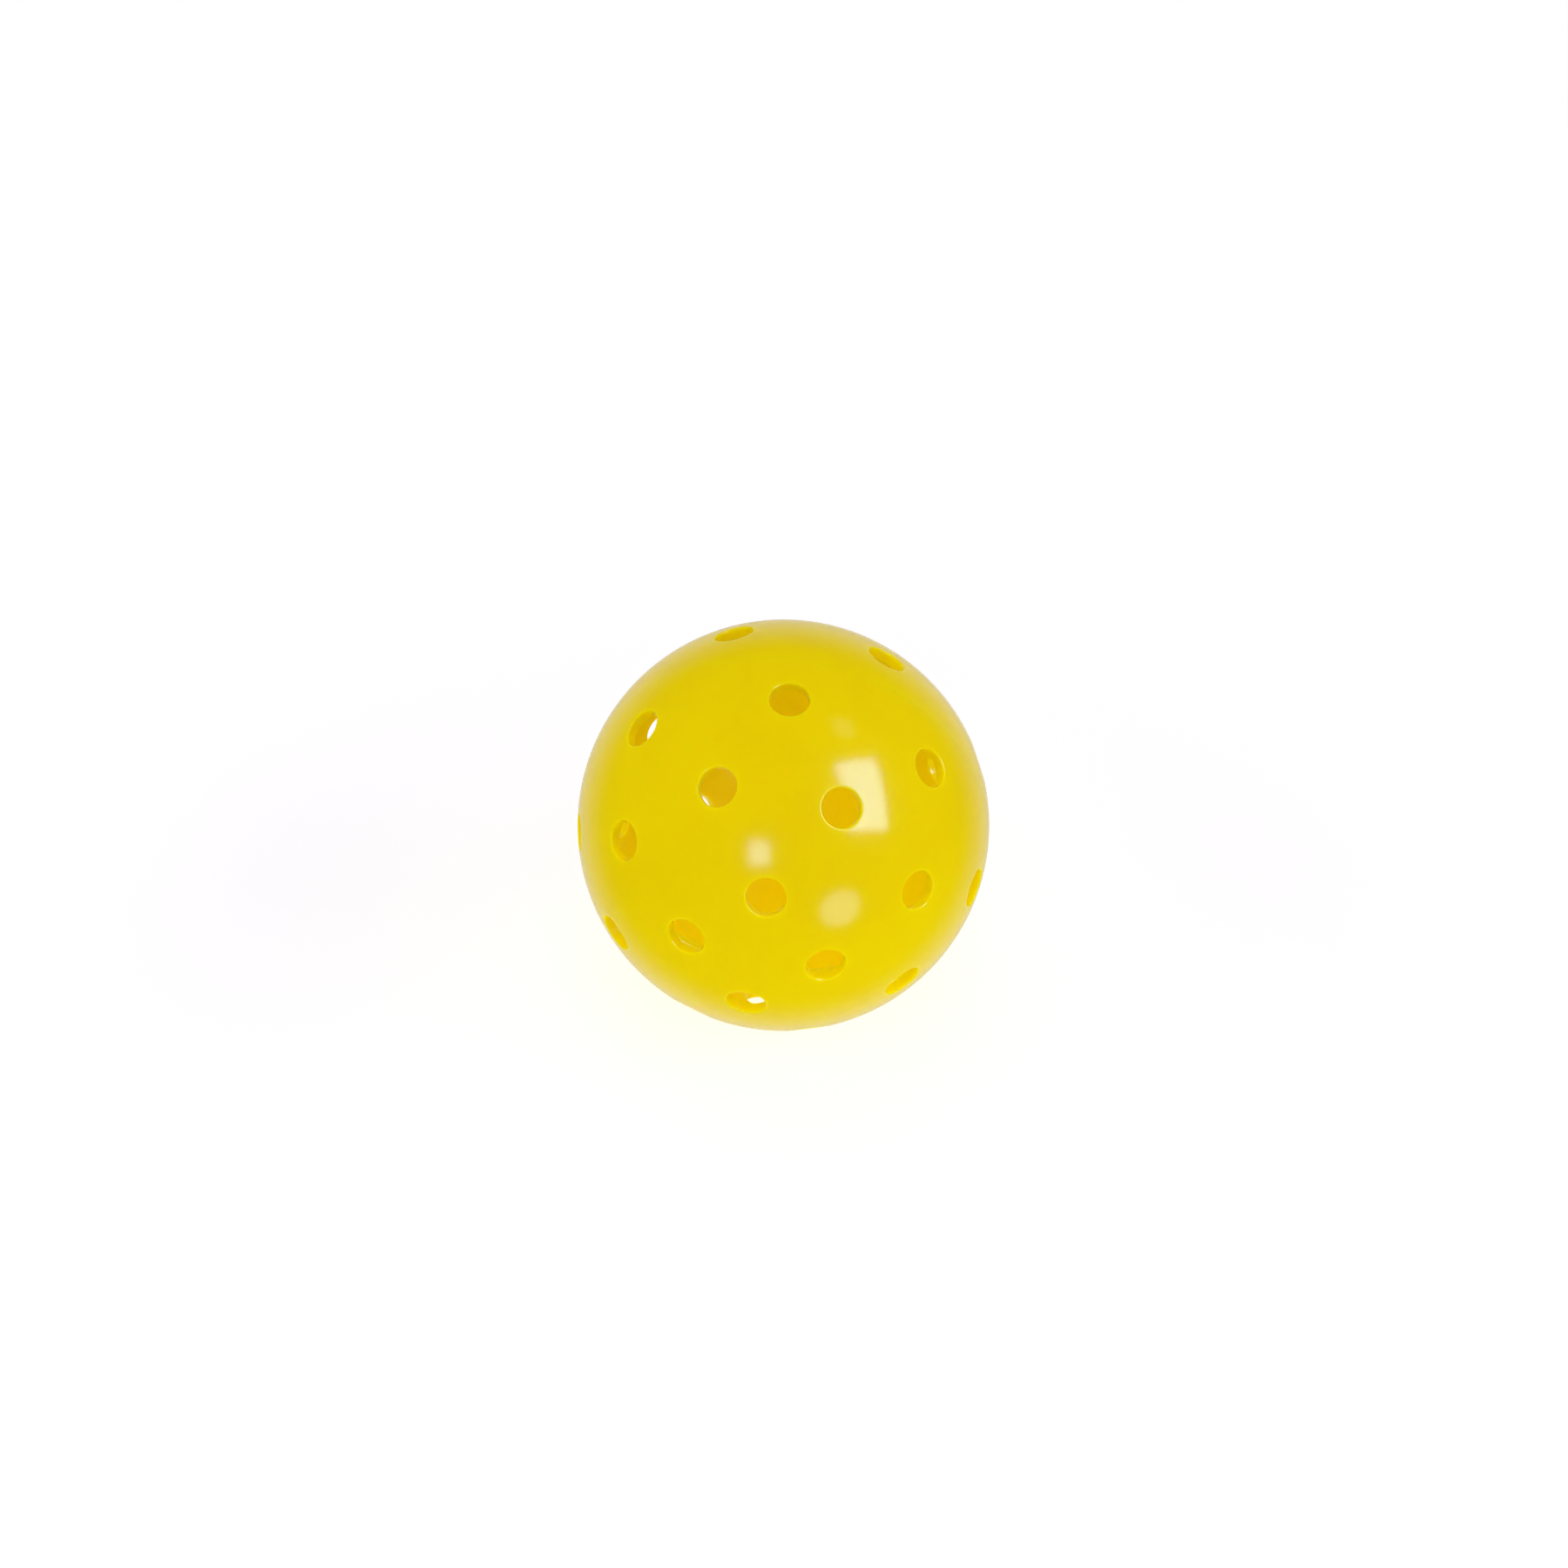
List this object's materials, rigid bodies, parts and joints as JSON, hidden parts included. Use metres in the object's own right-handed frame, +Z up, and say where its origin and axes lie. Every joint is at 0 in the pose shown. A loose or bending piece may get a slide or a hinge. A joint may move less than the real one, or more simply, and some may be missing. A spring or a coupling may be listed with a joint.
{
  "type": "pickleball ball",
  "caption": "Hollow perforated plastic game ball, two welded half shells with rows of round holes.",
  "frame": {"origin": "centre of the ball", "axes": "+Z up; the moulding axis is level along Y, the front half's pole faces -Y, and the weld lies in the XZ plane"},
  "size_m": [0.074, 0.074, 0.074],
  "materials": {
    "shell": "glossy moulded polyethylene",
    "weld": "re-melted, slightly uneven polyethylene"
  },
  "bodies": {
    "root": {"front_half_shell": "shell", "rear_half_shell": "shell", "weld_bead": "weld"}
  },
  "joints": []
}
